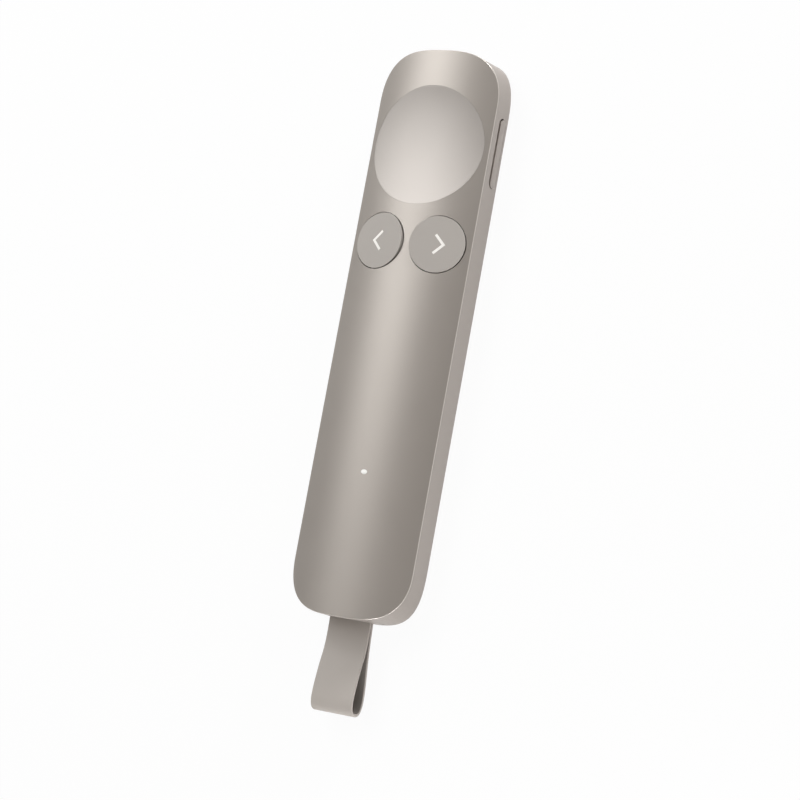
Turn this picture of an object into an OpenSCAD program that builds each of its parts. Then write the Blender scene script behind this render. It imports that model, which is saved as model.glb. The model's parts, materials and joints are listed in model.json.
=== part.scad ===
// Wireless presentation clicker: a slim pocket remote that lies on its flat back.
// Millimetres. +Z is the way the arched face looks, +Y points to the nose, and
// the origin is the middle of the flat back. A pull strap leaves the tail, at -Y.

/* [Body] */
// Width of the body across its side walls
body_w = 30; // [27:0.1:33]
// Length of the body from tail to nose
body_l = 129.3; // [118:0.1:142]
// Height of the face's crown above the flat back
body_h = 10.8; // [9.8:0.05:11.9]
// Radius of the arch across the face
arch_r = 40; // [36:0.5:48]
// Length of each rounded end of the outline
end_l = 14.8; // [13:0.1:17]
// Fullness of the outline's corners, across the body
full_x = 3.8; // [3.2:0.1:4.4]
// Fullness of the outline's corners, along the body
full_y = 3.1; // [2.6:0.1:3.6]
// Radius of the edge between the flat back and the walls
back_r = 1.8; // [1:0.1:1.9]
// Thickness of the rear shell's side wall
wall_t = 1.4; // [1.3:0.05:1.6]
// Thickness of the rear shell's floor
floor_t = 1.3; // [1:0.05:1.3]

/* [Face cover] */
// Height of the cover's rim that shows above the rear shell
cover_rim = 0.5; // [0.4:0.05:0.7]
// Thickness of the cover's plate inside its rim
cover_t = 1.2; // [1:0.05:1.3]
// Thickness of the lip that drops inside the rear shell
lip_t = 0.9; // [0.7:0.05:1.1]
// Height of the lip's lower edge above the flat back
lip_z = 6.3; // [6.2:0.1:6.6]

/* [Pointer button] */
// Distance of the dished button's centre from the nose
dish_from_nose = 22.2; // [20:0.05:24]
// Width of the face beside the dished button
dish_side = 1.15; // [0.9:0.05:2.5]
// Depth of the dish below the face's crown
dish_sink = 1.32; // [1.1:0.02:1.5]
// Thickness of the button's web under the dish
dish_web = 0.9; // [0.7:0.05:1]
// How far the pointer button travels when it is pressed
dish_travel = 0.4; // [0.3:0.05:0.45]

/* [Back and next buttons] */
// Width of the face beside each button
btn_side = 1.09; // [0.8:0.02:2]
// Width of the face between the two buttons
btn_bridge = 1.62; // [1.4:0.02:2.4]
// Width of the face between each of them and the pointer button
btn_land = 3.28; // [3:0.02:6]
// How far a button's flat top stands above the arch at its centre
btn_proud = 0.05; // [0:0.01:0.1]
// How far a button travels along its own axis
btn_travel = 0.35; // [0.25:0.05:0.4]
// Height of a chevron mark along the body
chevron_h = 4.3; // [3.8:0.1:4.8]
// Width of a chevron mark across the body
chevron_w = 2.27; // [2:0.05:2.6]
// Width of a chevron's stroke
chevron_stroke = 0.52; // [0.4:0.02:0.7]
// Depth of a chevron inlay
chevron_t = 0.3; // [0.2:0.05:0.4]

/* [Side key] */
// Distance of the side key's centre from the nose
key_from_nose = 21.7; // [20:0.05:24]
// Length of the side key
key_l = 16; // [14:0.1:17.6]
// Width of the side key
key_w = 2.9; // [2.4:0.1:3.1]
// Height of the side key's centre above the flat back
key_z = 3.75; // [3.5:0.05:3.95]
// How far the side key stands out of the wall
key_proud = 0.12; // [0:0.02:0.2]
// How far the side key travels
key_travel = 0.35; // [0.2:0.05:0.4]

/* [Status light] */
// Distance of the status light from the tail
light_from_tail = 32.25; // [29:0.05:34]
// Radius of the light pipe where it shows
light_r = 0.7; // [0.5:0.05:0.9]

/* [Receiver] */
// Width of the receiver's case
rx_w = 15.5; // [15:0.1:16]
// Height of the receiver's case
rx_h = 5.6; // [5.2:0.1:5.7]
// Height of the receiver's middle above the flat back
rx_z = 4.5; // [4.4:0.05:4.6]
// Length of the receiver's case inside the tail
rx_l = 16.6; // [15:0.1:17]
// Width of the receiver's metal plug
plug_w = 8.25; // [8.2:0.05:8.3]
// Height of the receiver's metal plug
plug_h = 2.4; // [2.35:0.05:2.45]
// Length of the plug that stands out of the case
plug_l = 6.5; // [6:0.1:6.6]

/* [Strap] */
// Width of the pull strap
strap_w = 10.4; // [9.6:0.1:11]
// Thickness of the strap
strap_t = 0.7; // [0.6:0.02:0.75]
// Length of the loop that hangs out of the tail
strap_out = 20.65; // [18:0.1:24]
// Half the gap between the loop's two legs at its widest, at mid-thickness
strap_half = 1.78; // [1.5:0.02:1.9]
// How far the loop's middle sags below the receiver's middle
strap_sag = 0.42; // [0.2:0.02:0.5]

/* [Board and battery] */
// Thickness of the main board
board_t = 0.8; // [0.6:0.1:1]
// How far the board's long edges stop short of the frame's
board_side = 0.2; // [0:0.05:1]
// Distance of the board's nose end from the nose
board_from_nose = 11.65; // [11.2:0.05:12.4]
// Length of the battery cell
cell_l = 50; // [42:0.5:55]
// Width of the battery cell
cell_w = 20; // [16:0.1:20.6]
// Thickness of the battery cell
cell_t = 2.9; // [2.4:0.1:3]
// Thickness of the foam pad under the cell
pad_t = 0.3; // [0.2:0.05:0.4]
// Gap between the cell and the board
cell_gap = 0.4; // [0.2:0.05:0.5]

/* [Clearances] */
// Gap round the pointer button
dish_gap = 0.06; // [0.05:0.01:0.12]
// Gap round the back and next buttons and the side key
btn_gap = 0.12; // [0.08:0.01:0.16]
// Gap between two fixed pieces that seat in each other
seat_gap = 0.05; // [0.03:0.01:0.08]
// Gap round the receiver in its bay
rx_gap = 0.08; // [0.05:0.01:0.12]
// Gap between the receiver's plug and the charging port
port_clear = 0.35; // [0.2:0.05:0.5]

/* [Hidden] */

$fn = 96;
greige = "#b4aca5";
dark_greige = "#a39b95";
steel = "#b9bcc0";
cut = 1;                                        // overrun of a cutting tool
half_w = body_w / 2;
half_l = body_l / 2;
arch_z = body_h - arch_r;                       // height of the arch's axis
edge_break = 0.25;                              // bevel along the face's edge
end_points = 24;                                // points on a quarter of the outline
back_slices = 6;                                // steps round the back edge's radius

// Height of the face at a distance x from the middle line
function face_z(x) = arch_z + sqrt(arch_r * arch_r - x * x);

// A quarter of the outline, drawn in by d, from the side wall to the tip
function quarter(d) = [for (i = [0:end_points]) let (t = 90 * i / end_points)
    [(half_w - d) * pow(cos(t), 2 / full_x),
     half_l - end_l + (end_l - d) * pow(sin(t), 2 / full_y)]];

// The whole outline as points, drawn in by d
function outline(d) = let (q = quarter(d), n = end_points)
    concat(q,
           [for (i = [n - 1:-1:0]) [-q[i][0], q[i][1]]],
           [for (i = [0:n]) [-q[i][0], -q[i][1]]],
           [for (i = [n - 1:-1:0]) [q[i][0], -q[i][1]]]);

// How far the outline reaches along the body at x from the middle line, drawn in by d
function reach(x, d) =
    let (across = pow(abs(x) / (half_w - d), full_x))
    half_l - end_l + (end_l - d) * pow(1 - across, 1 / full_y);

// A straight-sided block with the body's outline, drawn in by d
module prism(d, z0, z1) {
    translate([0, 0, z0]) linear_extrude(z1 - z0) polygon(outline(d));
}

// All the space under an arch that lies drop below the face. Where steps is small,
// the flats touch the arch from outside.
module under_arch(drop, steps = 360) {
    translate([0, 0, arch_z]) rotate([90, 0, 0])
        cylinder(r = (arch_r - drop) / (steps < 360 ? cos(180 / steps) : 1),
                 h = body_l + 4 * cut, center = true, $fn = steps);
}

// A round-ended plate that faces X: l long, w high and depth thick
module pill_x(l, w, depth) {
    rotate([0, 90, 0]) {
        for (s = [-1, 1]) translate([0, s * (l - w) / 2, 0]) cylinder(d = w, h = depth);
        translate([-w / 2, -(l - w) / 2, 0]) cube([w, l - w, depth]);
    }
}

// A bar with round ends, lying along Y from y0 to y1, w wide and h high
module pill_y(w, h, y0, y1) {
    translate([0, y1, 0]) rotate([90, 0, 0]) {
        for (s = [-1, 1]) translate([s * (w - h) / 2, 0, 0]) cylinder(d = h, h = y1 - y0);
        translate([-(w - h) / 2, -h / 2, 0]) cube([w - h, h, y1 - y0]);
    }
}

// A block given by its two corners
module block(a, b) {
    translate(a) cube([b[0] - a[0], b[1] - a[1], b[2] - a[2]]);
}

// Places and radii of the buttons, the side key and the light
dish_r = half_w - dish_side;
dish_y = half_l - dish_from_nose;
btn_r = (half_w - btn_side - btn_bridge / 2) / 2;
btn_x = btn_bridge / 2 + btn_r;
btn_y = dish_y - sqrt(pow(dish_r + btn_r + btn_land, 2) - btn_x * btn_x);
key_y = half_l - key_from_nose;
light_y = half_l - light_from_tail;             // behind the body's middle

// The back and next buttons lean with the arch: side is -1 for back and 1 for next
btn_tilt = asin(btn_x / arch_r);
btn_z = face_z(btn_x) + btn_proud;
module on_button(side) {
    translate([side * btn_x, btn_y, btn_z]) rotate([0, side * btn_tilt, 0]) children();
}

// Heights of the board and what stands on it
board_z = floor_t + pad_t + cell_t + cell_gap;
board_top = board_z + board_t;
switch_h = 1.1;                                 // height of a dome switch's case
switch_w = 5.2;                                 // width of a dome switch's case
plunger_r = 0.8;
plunger_gap = 0.3;                              // room for a leaning plunger in its switch
stem_r = 1;
max_travel = max(dish_travel, btn_travel);
well_floor = 0.1;                               // floor of a switch's well above the board
// Where a button's stem meets its plunger, and the lowest point of a plunger
stem_z = board_top + switch_h + max_travel + stem_r * sin(btn_tilt) + 0.05;
plunger_z = board_top + well_floor + max_travel + plunger_r * sin(btn_tilt) + 0.05;

// Pointer button: its dish is the inner side of a ring, concave along the body
// and slightly crowned across it, and its edge runs flush with the arch.
dish_fall = dish_r * dish_r / (2 * arch_r);     // how far the arch falls at the button's edge
dish_ry = dish_r * dish_r / (2 * dish_sink);
dish_rx = dish_r * dish_r / (2 * (dish_fall - dish_sink));
dish_z = body_h - dish_sink;
dish_skirt = 0.95;                              // wall below the button's lowest edge
dish_foot = face_z(dish_r) - dish_skirt;        // lower edge of the pointer button's wall
dish_wall = 1.25;
tab_t = 0.95;
tab_out = 1.35;                                 // how far the retaining tabs reach
dish_tab_w = 6;
tab_drop = 0.1;                                 // gap between a tab and the cover at rest

// Back and next buttons, along their own axis, measured down from the flat top
btn_web = 1.2;
btn_wall = 1.2;
btn_tab_top = cover_t + btn_proud + tab_drop;
btn_tab_t = 0.5;
btn_foot = btn_tab_top + btn_tab_t;
btn_break = 0.12;                               // bevel round the button's top
btn_tab_w = 4;
btn_tab_out = 0.85;
stem_len = (btn_z - stem_z) / cos(btn_tilt);
plunger_len = (btn_z - plunger_z) / cos(btn_tilt);
btn_switch_x = btn_x - stem_len * sin(btn_tilt) - 0.1;

// Relief cut where a button passes the rear shell's wall and the cover's lip
relief_gap = 0.25;
relief_z = dish_foot - dish_travel - 0.3;

// Side key, measured from the wall inwards
key_flange_t = 0.35;
key_flange_out = 0.55;
key_flange_x = half_w - wall_t - 0.08;          // outer face of the flange
key_stem_x = key_flange_x - key_flange_t - 0.3; // where the key's stem meets its plunger
side_switch_x = key_stem_x - key_travel - 0.35; // outer face of the side switch
side_switch_d = 3.2;
side_switch_l = 6.4;
side_plunger_r = 0.6;
side_switch_z = key_z - side_plunger_r - 0.2;   // lower side of the side switch

// The board and the frame: sides, nose end, and the tail end behind the port
board_lead = 0.2;                               // how far the port's mouth stands out
frame_x = half_w - wall_t - key_flange_t - key_travel - 0.5;
board_w = 2 * (frame_x - board_side);
board_nose = half_l - board_from_nose;
board_tail = half_l - rx_l - plug_l - port_clear - board_lead;

// Charging port, let into the board's tail end
port_wall = 0.3;
port_fit = 0.09;                                // play of a plug in the port's mouth
port_w = plug_w + port_fit + 2 * port_wall;
port_h = plug_h + 2 * port_fit + 2 * port_wall;
port_l = 7.3;
port_y1 = -board_tail - board_lead + port_l;
port_room = 0.15;
port_tongue_w = 6.7;
port_tongue_t = 0.7;

// Haptic motor, between the cell and the nose
motor_r = 4;
motor_h = 2.7;
motor_spot = [-3, key_y - 1.45];

// The cell lies midway between the port and the motor
cell_y = (port_y1 + motor_spot[1] - motor_r) / 2;
cell_room = 0.3;                                // room round the cell

// Screws that hold the board and the frame down on the rear shell's posts
screw_x = frame_x - 2.3;
screw_rows = [
    [screw_x, -board_tail + 3.6],
    [screw_x, (cell_y + cell_l / 2 + key_y - side_switch_l / 2) / 2],
    [screw_x - 1.7, board_nose - 3.4]
];
screw_spots = [for (r = screw_rows) for (s = [-1, 1]) [s * r[0], r[1]]];
post_r = 1.35;
post_gap = 0.12;
pilot_r = 0.6;
screw_r = 0.55;
screw_head_r = 1.3;
screw_head_h = 0.7;
screw_l = 3.6;
post_top = board_z - 0.3;

// Frame
frame_inset = wall_t + 1;
bay_wall = 1;
bay_roof = 0.6;
bay_in = -(board_tail + 0.4);                   // inner end of the receiver's bay
bay_out = -reach(0, wall_t) + 1;                // outer end of the bay inside the shell
rx_tail = -half_l;                              // outer end of the receiver's case
rx_inner = rx_tail + rx_l;                      // inner end of the receiver's case

// Laser in the nose
laser_r = 2;
laser_gap = 0.06;
laser_z = floor_t + 0.3 + laser_r;
cradle_top = laser_z + laser_r + 0.2;
window_r = 1.7;
laser_y0 = board_nose + 0.05;
laser_l = 9.2;
cradle_w = 8.4;
cradle_y0 = board_nose + 1.2;
cradle_y1 = laser_y0 + laser_l - 0.6;

// Snap hooks on the cover's lip, in notches of the rear shell's wall
hook_l = 5;
hook_h = 0.5;
hook_out = 0.3;
hook_z = lip_z + 0.05;
hook_room = 0.1;
hook_n = 3;
hook_y0 = -half_l + end_l + hook_l;
hook_y1 = btn_y - btn_r - hook_l;
hook_ys = [for (i = [0:hook_n - 1]) hook_y0 + (hook_y1 - hook_y0) * i / (hook_n - 1)];

// Strap loop
loop_y0 = -half_l - 3.6;                        // where the two legs part
loop_y1 = -half_l - strap_out + strap_half + strap_t / 2; // middle of the loop's round end
loop_run = 9.5;                                 // length over which the legs spread
strap_in = 5.4;                                 // length of the strap inside the receiver
slot_gap = 0.06;
pin_r = 0.6;
pin_y = -half_l + 3.2;
pin_half = 2.2;

// A snap hook for each spot, grown by g to cut its notch
module hooks(g) {
    face_x = half_w - wall_t - seat_gap;
    for (s = [-1, 1]) for (y = hook_ys)
        translate([s * face_x, y, hook_z + hook_h / 2])
            cube([2 * (hook_out + g), hook_l + 2 * g, hook_h + 2 * g], center = true);
}

// The rear shell: a tray with a flat back, round back edges and upright walls
module shell_block() {
    hull() {
        for (i = [1:back_slices]) let (t = 90 * i / back_slices)
            translate([0, 0, back_r * (1 - sin(t))]) linear_extrude(0.01)
                polygon(outline(back_r * (1 - cos(t))));
        prism(0, back_r, body_h);
    }
}

module button_relief(gap) {
    translate([0, dish_y, relief_z]) cylinder(r = dish_r + gap, h = body_h);
    for (side = [-1, 1]) on_button(side)
        translate([0, 0, -btn_foot - btn_travel - 0.3]) cylinder(r = btn_r + gap, h = body_h);
}

module rear_shell() {
    color(greige) {
        difference() {
            intersection() {
                shell_block();
                under_arch(cover_rim + seat_gap);
            }
            prism(wall_t, floor_t, body_h + cut);
            button_relief(relief_gap);
            translate([half_w - wall_t - cut, key_y, key_z])
                pill_x(key_l + 2 * btn_gap, key_w + 2 * btn_gap, wall_t + 2 * cut);
            hooks(hook_room);
            translate([0, 0, rx_z])
                pill_y(rx_w + 2 * rx_gap, rx_h + 2 * rx_gap, -half_l - cut, bay_in);
            translate([0, half_l - end_l, laser_z]) rotate([-90, 0, 0])
                cylinder(r = window_r + seat_gap, h = end_l + cut);
        }
        for (p = screw_spots) difference() {
            translate([p[0], p[1], floor_t / 2]) cylinder(r = post_r, h = post_top - floor_t / 2);
            translate([p[0], p[1], floor_t]) cylinder(r = pilot_r, h = post_top);
        }
    }
}

// The face's arched block with its edge bevelled all round. The hull stands a little
// proud of the arch, which then cuts it true.
module face_block() {
    proud = 0.03;
    intersection() {
        hull() {
            intersection() {
                prism(0, lip_z, body_h);
                under_arch(edge_break, 90);
            }
            intersection() {
                prism(edge_break + proud, lip_z, body_h);
                under_arch(-proud, 90);
            }
        }
        under_arch(0);
    }
}

// The arched face cover, with three button openings and the light's hole
module top_cover() {
    rx_side = rx_w / 2 + 3;
    color(greige) difference() {
        union() {
            difference() {
                face_block();
                under_arch(cover_rim);
            }
            hooks(0);
            difference() {
                intersection() {
                    prism(wall_t + seat_gap, lip_z, body_h + cut);
                    under_arch(cover_rim / 2);
                }
                intersection() {
                    prism(wall_t + seat_gap + lip_t, lip_z - cut, body_h);
                    under_arch(cover_t);
                }
            }
        }
        translate([0, dish_y, 0]) cylinder(r = dish_r + dish_gap, h = body_h + cut);
        for (side = [-1, 1]) on_button(side)
            translate([0, 0, -body_h / 2]) cylinder(r = btn_r + btn_gap, h = body_h);
        difference() {
            button_relief(relief_gap);
            intersection() {
                prism(0, lip_z, body_h + cut);
                difference() {
                    under_arch(0);
                    under_arch(cover_t);
                }
            }
        }
        translate([0, -light_y, 0]) cylinder(r = light_r + seat_gap, h = body_h + cut);
        block([-rx_side, -half_l, lip_z - cut],
              [rx_side, -half_l + end_l / 3, face_z(rx_side) - cover_t]);
    }
}

// The frame: rails beside the cell, the receiver's bay and the laser's cradle
module mid_frame() {
    color("#55565a") difference() {
        union() {
            intersection() {
                prism(frame_inset, floor_t, board_z);
                block([-frame_x, bay_in - 1, 0], [frame_x, board_nose - 0.4, body_h]);
            }
            intersection() {
                prism(frame_inset, floor_t, body_h);
                translate([0, 0, rx_z])
                    block([-rx_w / 2 - bay_wall, bay_out, floor_t - rx_z],
                          [rx_w / 2 + bay_wall, bay_in, rx_h / 2 + rx_gap + bay_roof]);
            }
            block([-cradle_w / 2, cradle_y0, floor_t], [cradle_w / 2, cradle_y1, cradle_top]);
            for (s = [-1, 1])
                block([s * cradle_w / 2 - 0.8, board_nose - 2, floor_t],
                      [s * cradle_w / 2 + 0.8, cradle_y0 + 1, board_z - 1]);
        }
        block([-cell_w / 2 - cell_room, cell_y - cell_l / 2 - cell_room, 0],
              [cell_w / 2 + cell_room, cell_y + cell_l / 2 + cell_room, body_h]);
        translate([0, 0, rx_z])
            pill_y(rx_w + 2 * rx_gap, rx_h + 2 * rx_gap, bay_out - cut, bay_in - 1);
        block([-port_w / 2 - port_room, bay_in - 1 - cut, rx_z - port_h / 2 - port_room],
              [port_w / 2 + port_room, port_y1 + port_room, body_h]);
        translate([motor_spot[0], motor_spot[1], 0]) cylinder(r = motor_r + 0.2, h = body_h);
        block([side_switch_x - side_switch_d - 0.3, key_y - side_switch_l / 2 - 0.3, 0],
              [half_w, key_y + side_switch_l / 2 + 0.3, body_h]);
        translate([0, laser_y0 - cut, laser_z]) rotate([-90, 0, 0])
            cylinder(r = laser_r + laser_gap, h = laser_l + 2 * cut);
        for (p = screw_spots) translate([p[0], p[1], 0]) cylinder(r = post_r + post_gap, h = body_h);
    }
}

module main_board() {
    color("#2f5d46") difference() {
        intersection() {
            prism(frame_inset, board_z, board_top);
            block([-board_w / 2, -board_tail, 0], [board_w / 2, board_nose, body_h]);
        }
        block([-port_w / 2 - port_room, -board_tail - cut, 0],
              [port_w / 2 + port_room, port_y1 + port_room, body_h]);
        for (p = screw_spots) translate([p[0], p[1], 0]) cylinder(r = screw_r + post_gap, h = body_h);
    }
}

module battery_cell() {
    color(steel) translate([0, cell_y, floor_t + pad_t + cell_t / 2]) {
        edge = cell_t / 2;
        cube([cell_w - 2 * edge, cell_l - 4, cell_t], center = true);
        for (s = [-1, 1]) translate([s * (cell_w / 2 - edge), 0, 0]) rotate([90, 0, 0])
            cylinder(r = edge, h = cell_l - 4, center = true);
        for (s = [-1, 1]) translate([0, s * (cell_l / 2 - 1), 0])
            cube([cell_w - 2 * edge, 2, 0.6], center = true);
    }
}

module cell_pad() {
    color("#3a3a3c") block([-cell_w / 2 + 2, cell_y - cell_l / 2 + 4, floor_t],
                           [cell_w / 2 - 2, cell_y + cell_l / 2 - 4, floor_t + pad_t]);
}

// A dome switch: a square metal-topped case with a round well for its plunger
module dome_switch(x, y) {
    color(steel) translate([x, y, board_top]) difference() {
        translate([-switch_w / 2, -switch_w / 2, 0]) cube([switch_w, switch_w, switch_h]);
        translate([0, 0, well_floor]) cylinder(r = plunger_r + plunger_gap, h = switch_h);
    }
}

module pointer_switch() { dome_switch(0, dish_y); }
module back_switch() { dome_switch(-btn_switch_x, btn_y); }
module next_switch() { dome_switch(btn_switch_x, btn_y); }

module side_switch() {
    color(steel) difference() {
        block([side_switch_x - side_switch_d, key_y - side_switch_l / 2, side_switch_z],
              [side_switch_x, key_y + side_switch_l / 2, board_z]);
        translate([side_switch_x - 1.6, key_y, key_z]) rotate([0, 90, 0])
            cylinder(r = side_plunger_r + seat_gap, h = 1.6 + cut);
    }
}

// The shield over the radio, a pressed can with a lid, between the light and the buttons
can_w = 12;
can_h = 1.6;
can_sheet = 0.2;
can_gap = 12.4;                                 // from the light, along the board
can_y = -light_y + can_gap + can_w / 2;
module radio_can() {
    inside = can_w / 2 - can_sheet;
    color(steel) translate([0, can_y, board_top]) difference() {
        block([-can_w / 2, -can_w / 2, 0], [can_w / 2, can_w / 2, can_h]);
        block([-inside, -inside, -cut], [inside, inside, can_h - can_sheet]);
    }
}

// The antenna stands near the board's edge, clear of the shield
antenna_w = 1.6;
antenna_l = 7;
antenna_h = 1.1;
antenna_edge = 2.4;                             // from the board's long edge
antenna_gap = 2.5;                              // from the shield, along the board
module antenna_chip() {
    x1 = board_w / 2 - antenna_edge;
    y1 = can_y - can_w / 2 - antenna_gap;
    color("#d8d3c4")
        block([x1 - antenna_w, y1 - antenna_l, board_top], [x1, y1, board_top + antenna_h]);
}

led_w = 1.6;
led_l = 0.8;
led_h = 0.6;
module status_led() {
    color("#f4f1e6") translate([0, -light_y, board_top + led_h / 2])
        cube([led_w, led_l, led_h], center = true);
}

module light_pipe() {
    collar_z = face_z(light_r * 2) - cover_t - seat_gap;
    color("#f2f0ec") intersection() {
        translate([0, -light_y, 0]) union() {
            translate([0, 0, board_top + led_h + 0.2]) cylinder(r = light_r, h = body_h);
            translate([0, 0, collar_z - 0.8]) cylinder(r = light_r * 2, h = 0.8);
        }
        under_arch(0);
    }
}

module haptic_motor() {
    color(steel) translate([motor_spot[0], motor_spot[1], floor_t]) cylinder(r = motor_r, h = motor_h);
}

module laser_module() {
    color("#b08d4f") translate([0, laser_y0, laser_z]) rotate([-90, 0, 0]) difference() {
        cylinder(r = laser_r, h = laser_l);
        translate([0, 0, laser_l - 1.2]) cylinder(r = 1.1, h = 1.2 + cut);
    }
}

module laser_window() {
    color("#3b3335") intersection() {
        translate([0, half_l - wall_t - 0.4, laser_z]) rotate([-90, 0, 0])
            cylinder(r = window_r, h = wall_t + 2);
        prism(0.1, 0, body_h);
    }
}

module charge_port() {
    color(steel) translate([0, 0, rx_z]) difference() {
        pill_y(port_w, port_h, port_y1 - port_l, port_y1);
        difference() {
            pill_y(port_w - 2 * port_wall, port_h - 2 * port_wall, port_y1 - port_l - cut, port_y1 - 1);
            block([-port_tongue_w / 2, port_y1 - port_l + 0.8, -port_tongue_t / 2],
                  [port_tongue_w / 2, port_y1, port_tongue_t / 2]);
        }
    }
}

module board_screws() {
    color(steel) for (p = screw_spots) translate([p[0], p[1], 0]) difference() {
        union() {
            translate([0, 0, board_top - screw_l]) cylinder(r = screw_r, h = screw_l + screw_head_h / 2);
            translate([0, 0, board_top]) cylinder(r = screw_head_r, h = screw_head_h);
        }
        for (a = [0, 90]) translate([0, 0, board_top + screw_head_h]) rotate([0, 0, a])
            cube([1.5, 0.35, 0.7], center = true);
    }
}

// All the space under the pointer button's saddle face, drop below it
module under_dish(drop) {
    translate([0, 0, dish_z + dish_ry]) rotate([0, 90, 0]) rotate_extrude($fn = 360)
        translate([dish_ry + dish_rx, 0]) circle(r = dish_rx - drop, $fn = 360);
}

// The dished pointer button: a thin cup with a post and two retaining tabs
module pointer_cap() {
    tab_z = face_z(dish_tab_w / 2) - cover_t - tab_drop - tab_t;
    color(greige) translate([0, dish_y, 0]) {
        difference() {
            intersection() {
                translate([0, 0, dish_foot]) cylinder(r = dish_r, h = body_h);
                under_dish(0);
            }
            intersection() {
                translate([0, 0, dish_foot - cut]) cylinder(r = dish_r - dish_wall, h = body_h);
                under_dish(dish_web);
            }
        }
        translate([0, 0, stem_z]) cylinder(r = stem_r, h = dish_z - dish_web / 2 - stem_z);
        for (s = [-1, 1])
            translate([-dish_tab_w / 2, s * (dish_r + (tab_out - 1) / 2) - (tab_out + 1) / 2, tab_z])
                cube([dish_tab_w, tab_out + 1, tab_t]);
    }
}

module pointer_plunger() {
    color("#e8e2d6") translate([0, dish_y, plunger_z]) cylinder(r = plunger_r, h = stem_z - plunger_z);
}

// A chevron in its button's plane: point_to is -1 for a mark that points to -X
module chevron_shape(point_to, grow) {
    arm = sqrt(pow(chevron_h / 2, 2) + pow(chevron_w, 2));
    lean = atan(chevron_h / 2 / chevron_w);
    for (s = [-1, 1]) translate([point_to * chevron_w * 0.7, 0])
        rotate(point_to > 0 ? 180 - s * lean : s * lean)
            translate([-chevron_stroke / 2 - grow, -chevron_stroke / 2 - grow])
                square([arm + chevron_stroke / 2 + 2 * grow, chevron_stroke + 2 * grow]);
}

module button_cap(side) {
    color(dark_greige) on_button(side) difference() {
        union() {
            difference() {
                union() {
                    translate([0, 0, -btn_foot]) cylinder(r = btn_r, h = btn_foot - btn_break);
                    translate([0, 0, -btn_break])
                        cylinder(r1 = btn_r, r2 = btn_r - btn_break, h = btn_break);
                }
                translate([0, 0, -btn_foot - cut])
                    cylinder(r = btn_r - btn_wall, h = btn_foot - btn_web + cut);
            }
            translate([0, 0, -stem_len]) cylinder(r = stem_r, h = stem_len - btn_web / 2);
            for (s = [-1, 1])
                translate([0, s * (btn_r + (btn_tab_out - 1) / 2), -btn_foot + btn_tab_t / 2])
                    cube([btn_tab_w, btn_tab_out + 1, btn_tab_t], center = true);
        }
        translate([0, 0, -chevron_t]) linear_extrude(chevron_t + cut) chevron_shape(side, 0.02);
    }
}

module button_mark(side) {
    color("#f3efe9") on_button(side)
        translate([0, 0, -chevron_t]) linear_extrude(chevron_t) chevron_shape(side, 0);
}

module button_plunger(side) {
    color("#e8e2d6") on_button(side)
        translate([0, 0, -plunger_len]) cylinder(r = plunger_r, h = plunger_len - stem_len);
}

module back_cap() { button_cap(-1); }
module back_mark() { button_mark(-1); }
module back_plunger() { button_plunger(-1); }
module next_cap() { button_cap(1); }
module next_mark() { button_mark(1); }
module next_plunger() { button_plunger(1); }

module side_key() {
    color(greige) {
        translate([key_flange_x - key_flange_t / 2, key_y, key_z])
            pill_x(key_l, key_w, half_w + key_proud - key_flange_x + key_flange_t / 2);
        translate([key_flange_x - key_flange_t, key_y, key_z])
            pill_x(key_l + 2 * key_flange_out, key_w + 2 * key_flange_out, key_flange_t);
        translate([key_stem_x, key_y, key_z]) rotate([0, 90, 0])
            cylinder(r = stem_r, h = key_flange_x - key_stem_x - key_flange_t / 2);
    }
}

module side_plunger() {
    color("#e8e2d6") translate([side_switch_x - 1.1, key_y, key_z]) rotate([0, 90, 0])
        cylinder(r = side_plunger_r, h = key_stem_x - side_switch_x + 1.1);
}

// The receiver's case, flush with the tail, with a slot for the strap
rx_case_wall = 1.25;
rx_room_gap = 0.3;                              // above and below the plug's root
rx_front = 7.4;                                 // solid end of the case, with the strap's slot
rx_room_w = rx_w - 2 * rx_case_wall;
rx_room_h = plug_h + 2 * rx_room_gap;
rx_room_y = rx_tail + rx_front;
module receiver_case() {
    color(greige) difference() {
        intersection() {
            translate([0, 0, rx_z]) pill_y(rx_w, rx_h, rx_tail - cut, rx_inner);
            prism(0, 0, body_h);
        }
        block([-rx_room_w / 2, rx_room_y, rx_z - rx_room_h / 2],
              [rx_room_w / 2, rx_inner + cut, rx_z + rx_room_h / 2]);
        block([-strap_w / 2 - slot_gap, rx_tail - cut, rx_z - strap_t - slot_gap],
              [strap_w / 2 + slot_gap, rx_tail + strap_in + slot_gap, rx_z + strap_t + slot_gap]);
        translate([0, pin_y, rx_z - pin_half]) cylinder(r = pin_r + seat_gap, h = 2 * pin_half);
    }
}

rx_board_gap = 0.3;                             // room round the receiver's board
rx_board_t = 0.8;
rx_plug_root = 2.2;                             // how deep the plug sits in the case
rx_board_y1 = rx_inner - rx_plug_root;
module receiver_board() {
    side = rx_room_w / 2 - rx_board_gap;
    color("#2f5d46")
        block([-side, rx_room_y + rx_board_gap, rx_z - rx_board_t / 2],
              [side, rx_board_y1, rx_z + rx_board_t / 2]);
}

plug_wall = 0.3;
module receiver_plug() {
    color(steel) translate([0, 0, rx_z]) difference() {
        pill_y(plug_w, plug_h, rx_board_y1 + 0.1, rx_inner + plug_l);
        pill_y(plug_w - 2 * plug_wall, plug_h - 2 * plug_wall,
               rx_board_y1 - cut, rx_inner + plug_l + cut);
    }
}

module plug_tongue() {
    color("#2b2b2d")
        block([-port_tongue_w / 2 + 0.05, rx_board_y1, rx_z - port_tongue_t / 2],
              [port_tongue_w / 2 - 0.05, rx_inner + plug_l - 1, rx_z + port_tongue_t / 2]);
}

module strap_pin() {
    color(steel) translate([0, pin_y, rx_z])
        cylinder(r = pin_r, h = 2 * (pin_half - seat_gap), center = true);
}

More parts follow.
